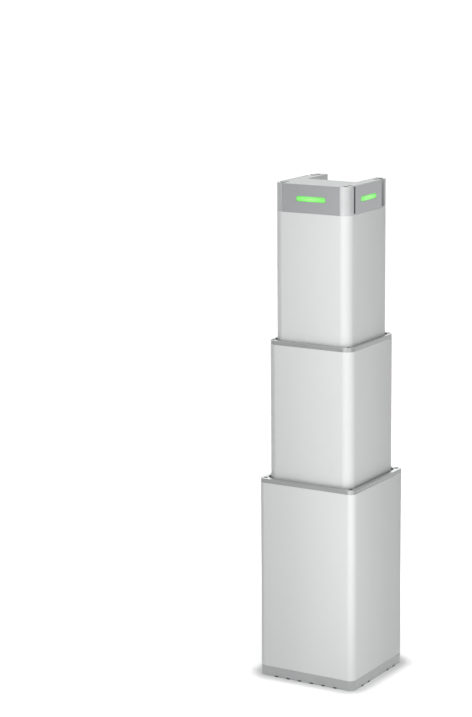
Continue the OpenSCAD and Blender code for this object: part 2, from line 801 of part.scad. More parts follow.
module middle_tube() color(ALUMINIUM) difference() {
    tube(middle_w, middle_wall, middle_r, middle_bottom, middle_top, middle_port_in, middle_port_d);
    translate([0, 0, middle_carrier_z]) edge_screws(middle_w, seat, -over);
}

module middle_rim() color(RIM_GREY)
    rim(middle_w, middle_r, inner_w, inner_r, middle_top,
        middle_port_in, middle_rim_screw_d, middle_rim_head_d);

module middle_rim_screws() color(STEEL)
    corner_screws(middle_w/2 - middle_port_in, middle_rim_top - 0.3, middle_rim_screw_d,
        middle_rim_head_d, rim_head_h - 0.4, rim_screw_len);

module middle_wiper() color(BLACK) wiper(inner_w, inner_r, middle_top + (rim_h - wiper_h)/2);

module middle_guide_pads() color(NYLON)
    pads(inner_w/2 + glide, middle_w/2 - middle_wall, inner_w/2 - pad_in, middle_top - pad_h - 2);

module middle_foot_pads() color(NYLON)
    pads(middle_w/2, outer_w/2 - outer_wall - glide, middle_w/2 - pad_in, middle_bottom + 2);

module middle_carrier() color(ALUMINIUM) translate([0, 0, middle_carrier_z]) difference() {
    carrier_blank(middle_w - 2*middle_wall - 2*seat, middle_r - middle_wall);
    port_reliefs(middle_w, middle_port_in, middle_port_d);
    translate([0, -spindle_y, 0]) nut_seat(lug_angle);
    translate([0, spindle_y, 0]) {
        translate([0, 0, carrier_t - upper_bearing_h]) cylinder(d = upper_bearing_d + 2*fit, h = carrier_t);
        translate([0, 0, -over]) cylinder(d = upper_journal_d + 4, h = carrier_t);
    }
    edge_screws(middle_w, fit, 0);
}

module middle_carrier_screws() color(STEEL)
    translate([0, 0, middle_carrier_z]) edge_screws(middle_w, 0, 0.3);

module lower_nut() color(BRASS) translate([0, -spindle_y, middle_carrier_z]) spindle_nut(lug_angle);

module lower_nut_screws() color(STEEL)
    translate([0, -spindle_y, middle_carrier_z]) nut_screws(lug_angle);

module upper_spindle_bearing() color(STEEL)
    translate([0, spindle_y, middle_carrier_top - upper_bearing_h])
        bearing(upper_journal_d + 2*fit, upper_bearing_d, upper_bearing_h);

// ---------------------------------------------------------------- upper drive

module upper_spindle() color(STEEL) translate([0, spindle_y, 0]) difference() {
    union() {
        translate([0, 0, upper_journal_bottom])
            cylinder(d = upper_journal_d, h = middle_carrier_top + 1 - upper_journal_bottom);
        translate([0, 0, middle_carrier_top + 0.2])
            cylinder(d = spindle_d, h = upper_collar_z - middle_carrier_top);
        translate([0, 0, upper_collar_z]) cylinder(d = 0.6*spindle_d, h = collar_h + 3);
    }
    translate([0, 0, upper_journal_bottom - over])
        cylinder(d = spindle_bore, h = upper_collar_z - 8 - upper_journal_bottom + over);
}

// A sleeve with a hexagonal bore that turns the upper spindle
module drive_bush() color(BRASS) translate([0, spindle_y, upper_journal_bottom]) difference() {
    cylinder(d = spindle_bore, h = hex_bush_len);
    translate([0, 0, -over]) cylinder(d = hex_d + 2*glide, h = hex_bush_len + 2*over, $fn = 6);
}

module spindle_circlip() color(STEEL)
    translate([0, spindle_y, middle_carrier_z - 0.3 - circlip_h]) difference() {
        cylinder(d = upper_journal_d + 4.5, h = circlip_h);
        translate([0, 0, -over]) cylinder(d = upper_journal_d, h = circlip_h + 2*over);
        translate([upper_journal_d/2 - 1, -2, -over]) cube([6, 4, circlip_h + 2*over]);
    }

module upper_stop_collar() color(STEEL)
    translate([0, spindle_y, upper_collar_z + 0.2]) stop_collar();

// ---------------------------------------------------------------- inner stage

module inner_tube() color(ALUMINIUM) difference() {
    tube(inner_w, inner_wall, inner_r, inner_bottom, inner_top, inner_port_in, inner_port_d);
    translate([0, 0, inner_bottom]) edge_screws(inner_w, seat, -over);
}

module inner_foot_pads() color(NYLON)
    pads(inner_w/2, middle_w/2 - middle_wall - glide, inner_w/2 - pad_in, inner_bottom + 2);

module inner_carrier() color(ALUMINIUM) translate([0, 0, inner_bottom]) difference() {
    carrier_blank(inner_w - 2*inner_wall - 2*seat, inner_r - inner_wall);
    port_reliefs(inner_w, inner_port_in, inner_port_d);
    translate([0, spindle_y, 0]) nut_seat(-lug_angle);
    // Room for the lower spindle, its nut and its collar, joined to the motor's opening
    translate([0, -spindle_y, -over])
        cylinder(d = max(nut_d, collar_d) + 2*motor_gap, h = carrier_t + 2*over);
    translate([motor_x, 0, -over]) rotate(-mesh_angle)
        translate([0, -throat_w/2, 0]) cube([centre_distance, throat_w, carrier_t + 2*over]);
    edge_screws(inner_w, fit, 0);
}

module inner_carrier_screws() color(STEEL)
    translate([0, 0, inner_bottom]) edge_screws(inner_w, 0, 0.3);

module upper_nut() color(BRASS) translate([0, spindle_y, inner_bottom]) spindle_nut(-lug_angle);

module upper_nut_screws() color(STEEL) translate([0, spindle_y, inner_bottom]) nut_screws(-lug_angle);

// ---------------------------------------------------------------- head

// Recess of one side panel; side is 1 on the right and -1 on the left
module side_recess(side, depth, z0, z1, grow) {
    translate([side > 0 ? inner_w/2 - depth : -inner_w/2 - over, side_panel_front - grow, z0])
        cube([depth + over, side_panel_rear - side_panel_front + 2*grow, z1 - z0]);
}

module head_frame() color(RIM_GREY) difference() {
    prism(inner_w, inner_r, inner_top, head_top);
    // Notch, open to the rear, with rounded inner corners
    translate([0, 0, inner_top + notch_floor]) linear_extrude(head_h) {
        translate([-notch_half_w, notch_y + notch_corner_r]) square([2*notch_half_w, inner_w]);
        translate([-notch_half_w + notch_corner_r, notch_y])
            square([2*(notch_half_w - notch_corner_r), inner_w]);
        for (side = [-1, 1])
            translate([side*(notch_half_w - notch_corner_r), notch_y + notch_corner_r]) circle(notch_corner_r);
    }
    // Recesses of the three panels
    translate([-front_panel_half_w - seat, -inner_w/2 - over, inner_top - over])
        cube([2*(front_panel_half_w + seat), panel_recess + over, head_h + 2*over]);
    for (side = [-1, 1]) side_recess(side, panel_recess, inner_top - over, head_top + over, seat);
    // Grooves from the ends of the side panels to the rounded corners
    flat_end = inner_w/2 - inner_r;
    for (side = [-1, 1], ends = [[-flat_end, side_panel_front], [side_panel_rear, flat_end]])
        translate([side > 0 ? inner_w/2 - groove_depth : -inner_w/2 - over, ends[0], inner_top + groove_floor])
            cube([groove_depth + over, ends[1] - ends[0], head_h]);
    // Hollow behind the panels
    cavity_top = head_h - head_top_wall;
    translate([corner_block - inner_w/2, light_depth - inner_w/2, inner_top - over])
        cube([inner_w - 2*corner_block, inner_w/2 - light_depth + notch_y - notch_wall, cavity_top + over]);
    for (side = [-1, 1])
        translate([side > 0 ? notch_half_w + notch_wall : light_depth - inner_w/2,
            side_panel_mid - light_board_l/2 - 1, inner_top - over])
            cube([inner_w/2 - light_depth - notch_half_w - notch_wall, light_board_l + 2, cavity_top + over]);
    // Windows of the light bars
    front_place() light_window();
    side_place(1) light_window();
    side_place(-1) light_window();
    // Mounting holes
    for (x = [-1, 1], y = [-1, 1])
        translate([x*(inner_w/2 - head_hole_in_x), y*(inner_w/2 - head_hole_in_y), head_top - head_hole_depth])
            cylinder(d = head_hole_d, h = head_hole_depth + over);
    // Counterbored screw holes over the tube's ports
    at_corners(inner_w/2 - inner_port_in) {
        translate([0, 0, inner_top - over]) cylinder(d = head_screw_d + 4*seat, h = head_h + 2*over);
        translate([0, 0, head_top - head_screw_head_h - 0.6])
            cylinder(d = head_screw_head_d + 4*seat, h = head_screw_head_h + over + 0.6);
    }
}

module head_screws() color(STEEL)
    corner_screws(inner_w/2 - inner_port_in, head_top - 0.5, head_screw_d, head_screw_head_d,
        head_screw_head_h, head_h + head_screw_bite - head_screw_head_h);

// Frames of the light bars: +Y points out of the panel, the origin lies on its outer face
module front_place() {
    translate([0, -inner_w/2, light_z]) rotate(180) children();
}

module side_place(side) {
    translate([side*inner_w/2, side_panel_mid, light_z]) rotate(-90*side) children();
}

module light_window() {
    translate([-light_len/2 - seat, -light_depth - over, -light_h/2 - seat])
        cube([light_len + 2*seat, light_depth + 2*over, light_h + 2*seat]);
}

module light_bar() {
    rotate([90, 0, 0]) linear_extrude(light_depth + 1)
        rounded_rectangle(light_len, light_h, light_corner_r);
    translate([-light_board_l/2, -light_depth - light_flange_t, -light_board_h/2])
        cube([light_board_l, light_flange_t - seat/2, light_board_h]);
}

module front_panel() color(PANEL_GREY) difference() {
    translate([-front_panel_half_w, -inner_w/2, inner_top])
        cube([2*front_panel_half_w, panel_t, head_h]);
    front_place() light_window();
}

module side_panel(side) difference() {
    intersection() {
        side_recess(side, panel_t, inner_top, head_top, 0);
        prism(inner_w, inner_r, inner_top, head_top);
    }
    side_place(side) light_window();
}

module right_panel() color(PANEL_GREY) side_panel(1);

module left_panel() color(PANEL_GREY) side_panel(-1);

module front_light() color(GREEN) front_place() light_bar();

module right_light() color(GREEN) side_place(1) light_bar();

module left_light() color(GREEN) side_place(-1) light_bar();

// One board of light-emitting diodes behind each bar
module light_board() {
    translate([-light_board_l/2, -light_depth - light_flange_t - light_board_t, -light_board_h/2])
        cube([light_board_l, light_board_t - seat/2, light_board_h]);
}

module light_boards() color(BOARD_GREEN) {
    front_place() light_board();
    side_place(1) light_board();
    side_place(-1) light_board();
}

base_plate();
base_bushes();
base_screws();
power_socket();
data_socket();
gear_housing();
housing_screws();
lower_spindle_bearing();
hex_shaft_bearing();
motor_body();
motor_end_cap();
motor_screws();
motor_pinion();
control_box();
control_box_lid();
control_board();
outer_tube();
outer_rim();
outer_rim_screws();
outer_wiper();
outer_guide_pads();
lower_spindle();
lower_spindle_gear();
lower_stop_collar();
hex_shaft();
hex_shaft_gear();
middle_tube();
middle_rim();
middle_rim_screws();
middle_wiper();
middle_guide_pads();
middle_foot_pads();
middle_carrier();
middle_carrier_screws();
lower_nut();
lower_nut_screws();
upper_spindle_bearing();
upper_spindle();
drive_bush();
spindle_circlip();
upper_stop_collar();
inner_tube();
inner_foot_pads();
inner_carrier();
inner_carrier_screws();
upper_nut();
upper_nut_screws();
head_frame();
head_screws();
front_panel();
right_panel();
left_panel();
front_light();
right_light();
left_light();
light_boards();
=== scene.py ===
# Electric lifting column: looks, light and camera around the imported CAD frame. Metres, +Z up.
import json
import math

import bmesh
import bpy
from mathutils import Matrix, Vector

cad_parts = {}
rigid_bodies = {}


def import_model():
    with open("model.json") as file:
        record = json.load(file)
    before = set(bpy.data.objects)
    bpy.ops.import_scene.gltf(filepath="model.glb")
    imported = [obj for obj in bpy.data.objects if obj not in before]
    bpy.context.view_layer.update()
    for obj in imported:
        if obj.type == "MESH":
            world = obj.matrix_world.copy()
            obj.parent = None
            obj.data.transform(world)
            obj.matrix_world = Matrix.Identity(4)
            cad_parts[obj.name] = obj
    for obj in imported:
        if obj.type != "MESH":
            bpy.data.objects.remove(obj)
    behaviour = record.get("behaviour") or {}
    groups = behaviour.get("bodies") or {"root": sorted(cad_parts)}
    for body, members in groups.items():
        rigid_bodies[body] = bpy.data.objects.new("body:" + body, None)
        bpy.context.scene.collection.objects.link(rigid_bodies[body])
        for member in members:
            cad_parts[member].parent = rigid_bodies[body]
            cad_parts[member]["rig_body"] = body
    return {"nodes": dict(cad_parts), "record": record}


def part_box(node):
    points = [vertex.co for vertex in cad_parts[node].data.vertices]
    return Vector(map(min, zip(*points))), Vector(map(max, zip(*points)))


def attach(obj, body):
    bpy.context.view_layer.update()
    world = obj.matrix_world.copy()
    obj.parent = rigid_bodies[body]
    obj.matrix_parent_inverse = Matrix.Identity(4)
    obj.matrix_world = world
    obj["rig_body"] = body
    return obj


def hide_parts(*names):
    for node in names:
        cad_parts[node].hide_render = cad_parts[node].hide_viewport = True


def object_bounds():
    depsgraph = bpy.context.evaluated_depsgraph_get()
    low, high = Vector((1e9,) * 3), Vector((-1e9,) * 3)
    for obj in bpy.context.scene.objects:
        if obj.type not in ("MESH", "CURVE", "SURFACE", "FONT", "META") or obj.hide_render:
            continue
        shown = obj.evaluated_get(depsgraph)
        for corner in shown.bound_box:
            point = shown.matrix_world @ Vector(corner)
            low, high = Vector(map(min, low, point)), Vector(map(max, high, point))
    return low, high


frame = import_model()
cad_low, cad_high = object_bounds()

scene = bpy.context.scene
MM = 0.001


# ------------------------------------------------------------------ camera
def photo_camera():
    """A camera above the column, tilted down and turned towards its near corner, as in the photo."""
    eye = Vector((1.78784, -3.23988, 1.31237))
    yaw, pitch, roll = math.radians(31.3503), math.radians(11.7917), math.radians(-0.4882)
    forward = Vector((-math.sin(yaw) * math.cos(pitch), math.cos(yaw) * math.cos(pitch), -math.sin(pitch)))
    right = forward.cross(Vector((0, 0, 1))).normalized()
    up = right.cross(forward)
    right, up = (right * math.cos(roll) + up * math.sin(roll),
                 up * math.cos(roll) - right * math.sin(roll))
    data = bpy.data.cameras.new("camera")
    data.lens, data.sensor_width, data.sensor_fit = 114.088, 36, "AUTO"
    data.clip_start, data.clip_end = 0.05, 200
    camera = bpy.data.objects.new("camera", data)
    camera.matrix_world = Matrix((
        (right.x, up.x, -forward.x, eye.x),
        (right.y, up.y, -forward.y, eye.y),
        (right.z, up.z, -forward.z, eye.z),
        (0, 0, 0, 1)))
    scene.collection.objects.link(camera)
    scene.camera = camera


photo_camera()


# ------------------------------------------------------------------ material helpers
class Paint:
    """A node material built up step by step around one Principled shader."""

    def __init__(self, name, colour, rough, metallic=0.0, **sockets):
        self.material = bpy.data.materials.new(name)
        self.material.use_nodes = True
        self.tree = self.material.node_tree
        self.shader = self.tree.nodes["Principled BSDF"]
        self.colour, self.rough = colour, rough
        self.put("Base Color", (*colour, 1))
        self.put("Roughness", rough)
        self.put("Metallic", metallic)
        for key, value in sockets.items():
            self.put(key.replace("_", " "), value)
        self.height = None

    def put(self, socket, value):
        self.shader.inputs[socket].default_value = value

    def node(self, kind, **values):
        made = self.tree.nodes.new(kind)
        for key, value in values.items():
            if key in made.inputs:
                made.inputs[key].default_value = value
            else:
                setattr(made, key, value)
        return made

    def link(self, a, b):
        self.tree.links.new(a, b)

    def coords(self, scale=(1, 1, 1)):
        """Object coordinates, stretched by scale."""
        place = self.node("ShaderNodeMapping")
        place.inputs["Scale"].default_value = scale
        self.link(self.node("ShaderNodeTexCoord").outputs["Object"], place.inputs["Vector"])
        return place.outputs["Vector"]

    def noise(self, scale, detail=3, stretch=(1, 1, 1)):
        made = self.node("ShaderNodeTexNoise", Scale=scale, Detail=detail)
        self.link(self.coords(stretch), made.inputs["Vector"])
        return made.outputs["Fac"]

    def spread(self, fac, low, high, from_low=0.3, from_high=0.7):
        made = self.node("ShaderNodeMapRange")
        for key, value in (("From Min", from_low), ("From Max", from_high),
                           ("To Min", low), ("To Max", high)):
            made.inputs[key].default_value = value
        self.link(fac, made.inputs["Value"])
        return made.outputs["Result"]

    def tint(self, fac, amount):
        """Colour that varies about its own value by amount, darker to lighter."""
        made = self.node("ShaderNodeMix", data_type="RGBA")
        made.inputs["A"].default_value = (*[c * (1 - amount) for c in self.colour], 1)
        made.inputs["B"].default_value = (*[min(1, c * (1 + amount)) for c in self.colour], 1)
        self.link(self.spread(fac, 0, 1), made.inputs["Factor"])
        self.link(made.outputs["Result"], self.shader.inputs["Base Color"])

    def painted_top_light(self, colour):
        """Painted light: another colour on the faces that look up, standing in for the light from above."""
        split = self.node("ShaderNodeSeparateXYZ")
        self.link(self.node("ShaderNodeTexCoord").outputs["Normal"], split.inputs["Vector"])
        made = self.node("ShaderNodeMix", data_type="RGBA")
        self.link(self.shader.inputs["Base Color"].links[0].from_socket, made.inputs["A"])
        made.inputs["B"].default_value = (*colour, 1)
        self.link(self.spread(split.outputs["Z"], 0, 1, 0.6, 0.95), made.inputs["Factor"])
        self.link(made.outputs["Result"], self.shader.inputs["Base Color"])

    def vary_rough(self, fac, amount):
        self.link(self.spread(fac, self.rough - amount, self.rough + amount),
                  self.shader.inputs["Roughness"])

    def bump(self, fac, depth, strength=1.0):
        """Height in metres; calls add up."""
        made = self.node("ShaderNodeBump", Strength=strength, Distance=depth)
        self.link(fac, made.inputs["Height"])
        if self.height is not None:
            self.link(self.height, made.inputs["Normal"])
        self.height = made.outputs["Normal"]
        self.link(self.height, self.shader.inputs["Normal"])


def srgb(r, g, b):
    """Linear colour of an sRGB value from 0 to 255."""
    return tuple(((c / 255 + 0.055) / 1.055) ** 2.4 for c in (r, g, b))


def anodised():
    p = Paint("satin_anodised_aluminium", srgb(218, 219, 219), 0.5, 0.05)
    p.tint(p.noise(9, 4, (1, 1, 0.25)), 0.02)
    die_lines = p.noise(900, 2, (1, 1, 0.004))
    p.vary_rough(p.noise(160, 3, (1, 1, 0.02)), 0.04)
    p.bump(die_lines, 0.00002, 0.25)
    p.bump(p.noise(2600, 2), 0.00001, 0.3)
    return p.material


def cast(name="bead_blasted_aluminium", sides=srgb(147, 149, 149), top=srgb(164, 166, 166), rough=0.36,
         metallic=0.6):
    """Bead-blasted all round. The faces that look up get the lighter top colour: painted light, as if lit
    from above.
    """
    p = Paint(name, sides, rough, metallic)
    p.tint(p.noise(40, 4), 0.04)
    p.painted_top_light(top)
    p.vary_rough(p.noise(700, 3), 0.05)
    p.bump(p.noise(1800, 3), 0.00004, 0.35)
    return p.material


def panel():
    p = Paint("metal_effect_grey_panel", srgb(151, 153, 154), 0.42, 0.85)
    p.tint(p.noise(1100, 3), 0.06)
    p.bump(p.noise(1500, 4), 0.00006, 0.5)
    return p.material


def rubber():
    p = Paint("black_rubber", srgb(38, 39, 40), 0.6, Specular_IOR_Level=0.3)
    p.tint(p.noise(300, 3), 0.15)
    p.bump(p.noise(900, 3), 0.00005, 0.4)
    return p.material


def nylon():
    p = Paint("white_bearing_plastic", srgb(238, 236, 229), 0.4)
    p.tint(p.noise(60, 3), 0.02)
    p.bump(p.noise(700, 2), 0.00002, 0.3)
    return p.material


def lit_bar():
    """Each bar has its origin at its centre, X along it and Z up it, so that its light can fall off towards
    the rim."""
    edge, centre = srgb(96, 226, 74), srgb(150, 255, 126)
    half_length, half_height = 0.030, 0.0055
    p = Paint("lit_green_diffuser", srgb(118, 206, 104), 0.3)
    away = p.node("ShaderNodeVectorMath", operation="LENGTH")
    p.link(p.coords((1 / half_length, 0, 1 / half_height)), away.inputs[0])
    fall = p.spread(away.outputs["Value"], 1, 0, 0.15, 1.0)
    grain = p.spread(p.noise(1300, 2), 0.9, 1.1)
    light = p.node("ShaderNodeMix", data_type="RGBA")
    light.inputs["A"].default_value, light.inputs["B"].default_value = (*edge, 1), (*centre, 1)
    p.link(fall, light.inputs["Factor"])
    p.link(light.outputs["Result"], p.shader.inputs["Emission Color"])
    level = p.node("ShaderNodeMath", operation="MULTIPLY")
    p.link(p.spread(fall, 0.35, 0.8, 0, 1), level.inputs[0])
    p.link(grain, level.inputs[1])
    p.link(level.outputs["Value"], p.shader.inputs["Emission Strength"])
    return p.material


def board():
    p = Paint("green_circuit_board", srgb(40, 104, 66), 0.35)
    p.tint(p.noise(500, 2), 0.12)
    p.bump(p.noise(350, 1), 0.00003, 0.4)
    return p.material


def black():
    p = Paint("black_moulded_plastic", srgb(40, 40, 42), 0.5)
    p.tint(p.noise(900, 3), 0.12)
    p.bump(p.noise(1400, 3), 0.00005, 0.5)
    return p.material


def machined():
    p = Paint("machined_aluminium", srgb(208, 209, 210), 0.32, 0.95)
    p.tint(p.noise(30, 3), 0.03)
    p.vary_rough(p.noise(500, 2, (1, 0.05, 1)), 0.06)
    p.bump(p.noise(900, 2, (1, 0.03, 1)), 0.00002, 0.4)
    return p.material


def bronze():
    p = Paint("turned_bronze", srgb(196, 156, 92), 0.3, 1.0)
    p.tint(p.noise(70, 4), 0.08)
    p.bump(p.noise(1200, 2, (0.05, 0.05, 1)), 0.00002, 0.4)
    return p.material


def can():
    p = Paint("grey_painted_steel", srgb(92, 94, 96), 0.38, 0.1)
    p.tint(p.noise(50, 3), 0.05)
    p.bump(p.noise(300, 3), 0.00003, 0.3)
    return p.material


def screw_zinc():
    p = Paint("black_zinc_plate", srgb(46, 47, 49), 0.6, Specular_IOR_Level=0.1)
    p.tint(p.noise(200, 3), 0.12)
    p.bump(p.noise(1500, 2), 0.00002, 0.3)
    return p.material


def shaft():
    p = Paint("ground_steel", srgb(190, 192, 195), 0.22, 1.0)
    p.tint(p.noise(80, 3), 0.04)
    p.bump(p.noise(1500, 2, (0.04, 0.04, 1)), 0.00001, 0.4)
    return p.material


MAKERS = {
    "anodised_tube": anodised, "rim_casting": cast, "head_panel": panel, "wiper_rubber": rubber,
    "glide_plastic": nylon, "light_bar": lit_bar, "circuit_board": board, "black_plastic": black,
    "machined_aluminium": machined, "bronze": bronze, "motor_can": can, "screw_steel": screw_zinc,
    "shaft_steel": shaft,
}
MATERIALS = {slot_name: maker() for slot_name, maker in MAKERS.items()}
# The head's posts and top are the same metal as the rims and the foot, finished finer and lighter; its faces
# that look up also get a little painted top light
FINER = {"head_frame": cast("fine_blasted_aluminium", srgb(181, 183, 183), srgb(188, 190, 190), 0.46, 0.35)}


# ------------------------------------------------------------------ pieces
def slot_of(node):
    """The record's slot of a CAD node, which is the name of the material it was packed with."""
    return frame["nodes"][node].data.materials[0].name.split(".")[0]


SLOT = {node: slot_of(node) for node in frame["nodes"]}
WELD = 2e-6
FLAT_WITHIN, SHARP_FROM = math.radians(0.5), math.radians(32)


def soften(node, width):
    """A piece in the shape of a CAD node with its sharp edges broken by a small radius. It stands for the
    node."""
    mesh = frame["nodes"][node].data.copy()
    mesh.name = node + "_shape"
    work = bmesh.new()
    work.from_mesh(mesh)
    bmesh.ops.remove_doubles(work, verts=work.verts, dist=WELD)
    bmesh.ops.dissolve_limit(work, angle_limit=FLAT_WITHIN, verts=work.verts, edges=work.edges)
    work.to_mesh(mesh)
    work.free()
    piece = bpy.data.objects.new(node + "_finished", mesh)
    scene.collection.objects.link(piece)
    for face in mesh.polygons:
        face.use_smooth = True
    mesh.set_sharp_from_angle(angle=SHARP_FROM)
    bevel = piece.modifiers.new("edges", "BEVEL")
    bevel.width, bevel.segments = width, 2
    bevel.limit_method, bevel.angle_limit = "ANGLE", SHARP_FROM
    bevel.use_clamp_overlap = True
    # Large flat faces keep their own direction next to rounded corners
    flat = piece.modifiers.new("flat_faces", "WEIGHTED_NORMAL")
    flat.mode, flat.weight, flat.keep_sharp = "FACE_AREA", 100, True
    mesh.materials.clear()
    mesh.materials.append(FINER.get(node, MATERIALS[SLOT[node]]))
    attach(piece, frame["nodes"][node]["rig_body"])
    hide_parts(node)


for node, shown in frame["nodes"].items():
    shown.data.materials[0] = MATERIALS[SLOT[node]]

# Width of the broken edges, in mm
SOFT_EDGES = {
    "base_plate": 0.5, "outer_rim": 0.3, "middle_rim": 0.3, "head_frame": 0.3,
    "front_panel": 0.25, "right_panel": 0.25, "left_panel": 0.25,
    "outer_tube": 0.25, "middle_tube": 0.25, "inner_tube": 0.25,
    "outer_rim_screws": 0.2, "middle_rim_screws": 0.15, "head_screws": 0.3, "base_screws": 0.2,
    "power_socket": 0.2, "data_socket": 0.2,
    "gear_housing": 0.4, "middle_carrier": 0.4, "inner_carrier": 0.4,
    "control_box": 0.6, "control_box_lid": 0.4, "motor_screws": 0.15, "housing_screws": 0.15,
    "lower_stop_collar": 0.4, "upper_stop_collar": 0.4, "lower_nut": 0.3, "upper_nut": 0.3,
}
for node, edge in SOFT_EDGES.items():
    soften(node, edge * MM)


SMOOTH_UP_TO = math.radians(35)


def new_piece(name, verts, faces, slot, body, node=None, place=None):
    """A mesh piece finished from a slot and riding on a body. It can stand for a CAD node, and have its own
    origin."""
    mesh = bpy.data.meshes.new(name)
    mesh.from_pydata(verts, [], faces)
    work = bmesh.new()
    work.from_mesh(mesh)
    bmesh.ops.recalc_face_normals(work, faces=work.faces)
    work.to_mesh(mesh)
    work.free()
    for face in mesh.polygons:
        face.use_smooth = True
    mesh.set_sharp_from_angle(angle=SMOOTH_UP_TO)
    mesh.materials.append(MATERIALS[slot])
    piece = bpy.data.objects.new(name, mesh)
    scene.collection.objects.link(piece)
    if place:
        piece.matrix_world = place
    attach(piece, body)
    if node:
        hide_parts(node)


def band(first, second, count):
    """Faces between two closed rings of points, which start at the places first and second."""
    return [(first + i, first + (i + 1) % count, second + (i + 1) % count, second + i) for i in range(count)]


class Turned:
    """A lathe-made shape on a vertical line: closed rings of points, joined in order into one skin."""

    def __init__(self, x, y, around=48):
        self.x, self.y, self.around = x, y, around
        self.verts, self.faces, self.last = [], [], None

    def ring(self, z, radius):
        """radius is a length, or a function of the turn round the line, from 0 to 1."""
        first = len(self.verts)
        for i in range(self.around):
            share = i / self.around
            r = radius(share) if callable(radius) else radius
            a = 2 * math.pi * share
            self.verts.append((self.x + r * math.cos(a), self.y + r * math.sin(a), z))
        if self.last is not None:
            self.faces += band(self.last, first, self.around)
        self.last = first
        return self

    def cap(self):
        """Close the shape at its last ring."""
        self.faces.append(tuple(self.last + i for i in range(self.around)))


THREAD_PITCH, THREAD_STARTS = 4 * MM, 4
CREST, ROOT = 10 * MM, 8 * MM
HALF_ROOT, FLANK = 0.16, 0.18           # shares of the pitch
RINGS_PER_PITCH = 8
SPINDLE_EDGE, SPINDLE_NECK = 0.6 * MM, 6 * MM
THREAD_SEAT = 0.2 * MM


def thread_radius(z):
    """Trapezoid thread with its starts side by side: the radius at a height, as a function of the turn."""
    def radius(share):
        along = (z / THREAD_PITCH - share * THREAD_STARTS) % 1
        ramp = min(1, max(0, (0.5 - abs(along - 0.5) - HALF_ROOT) / FLANK))
        return ROOT + (CREST - ROOT) * ramp
    return radius


def spindle(node, foot, thread, bore=None):
    """A spindle. foot lists (height, radius) below the thread, thread has its two ends, and bore the radius
    and the top of a blind hole from below. The neck above the thread carries the stop collar."""
    low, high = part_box(node)
    made = Turned((low.x + high.x) / 2, (low.y + high.y) / 2)
    edge, neck = SPINDLE_EDGE, SPINDLE_NECK
    if bore:
        radius, top = bore
        drill_tip = 0.2 * MM
        made.ring(top, drill_tip).cap()
        made.ring(top, radius).ring(low.z + edge, radius).ring(low.z, radius + edge)
    else:
        made.ring(low.z, foot[0][1] - edge).cap()
    for z, radius in foot:
        made.ring(z, radius)
    made.ring(thread[0], ROOT)
    step = THREAD_PITCH / RINGS_PER_PITCH
    for k in range(1, int((thread[1] - thread[0]) / step)):
        z = thread[0] + k * step
        made.ring(z, thread_radius(z))
    made.ring(thread[1], ROOT).ring(thread[1], neck).ring(high.z - edge, neck).ring(high.z, neck - edge).cap()
    body = frame["nodes"][node]["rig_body"]
    new_piece(node + "_threaded", made.verts, made.faces, "shaft_steel", body, node)


def thread_ends(bearing, collar):
    """The thread starts just above its bearing and ends just inside its stop collar."""
    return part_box(bearing)[1].z + THREAD_SEAT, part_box(collar)[0].z + THREAD_SEAT


def lower_spindle():
    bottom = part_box("lower_spindle")[0].z
    pin, journal = 5 * MM, 7.5 * MM
    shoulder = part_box("base_bushes")[1].z + 0.5 * MM
    start, end = thread_ends("lower_spindle_bearing", "lower_stop_collar")
    foot = [(bottom + SPINDLE_EDGE, pin), (shoulder, pin), (shoulder, journal), (start, journal)]
    spindle("lower_spindle", foot, (start, end))


def upper_spindle():
    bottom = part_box("upper_spindle")[0].z
    journal, bore, solid_top = 8.5 * MM, 6.75 * MM, 8 * MM
    start, end = thread_ends("upper_spindle_bearing", "upper_stop_collar")
    foot = [(bottom, journal - SPINDLE_EDGE), (bottom + SPINDLE_EDGE, journal), (start, journal)]
    spindle("upper_spindle", foot, (start, end), (bore, end - THREAD_SEAT - solid_top))


lower_spindle()
upper_spindle()


def thread_inserts(name, mount, pitch, depth, node):
    """Dark threaded inserts in the holes of a bolt pattern mount, from its face inwards."""
    bolts = next(m for m in frame["record"]["mounts"] if m["name"] == mount)
    dims, inward, face = bolts["dims"], -bolts["axis"][2], bolts["pos_m"][2]
    bore, start = dims["hole_r_mm"] * MM, 0.3 * MM
    wall, root, crest = bore - 0.01 * MM, bore - 0.03 * MM, bore - 0.25 * MM
    verts, faces = [], []
    for x in (-dims["spacing_x_mm"] / 2, dims["spacing_x_mm"] / 2):
        for y in (-dims["spacing_y_mm"] / 2, dims["spacing_y_mm"] / 2):
            made = Turned(x * MM, y * MM, around=24)
            made.ring(face + inward * depth, wall).ring(face + inward * start, wall)
            for k in range(int((depth - start) / pitch)):
                z = face + inward * (start + (k + 0.25) * pitch)
                made.ring(z, crest).ring(z + inward * pitch / 2, root)
            made.ring(face + inward * depth, crest)
            made.faces += band(made.last, 0, made.around)
            faces += [tuple(len(verts) + v for v in polygon) for polygon in made.faces]
            verts += made.verts
    new_piece(name, verts, faces, "screw_steel", frame["nodes"][node]["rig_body"])


thread_inserts("head_thread_inserts", "head_bolts", pitch=1.25 * MM, depth=15 * MM, node="head_frame")
thread_inserts("base_thread_inserts", "base_bolts", pitch=1.5 * MM, depth=13 * MM, node="base_plate")


def outline(length, height, radius, steps=6):
    """Points of a rounded rectangle in X and Z, counter-clockwise."""
    points = []
    for cx, cz, start in ((1, 1, 0), (-1, 1, 90), (-1, -1, 180), (1, -1, 270)):
        for i in range(steps + 1):
            a = math.radians(start + 90 * i / steps)
            points.append((cx * (length / 2 - radius) + radius * math.cos(a),
                           cz * (height / 2 - radius) + radius * math.sin(a)))
    return points


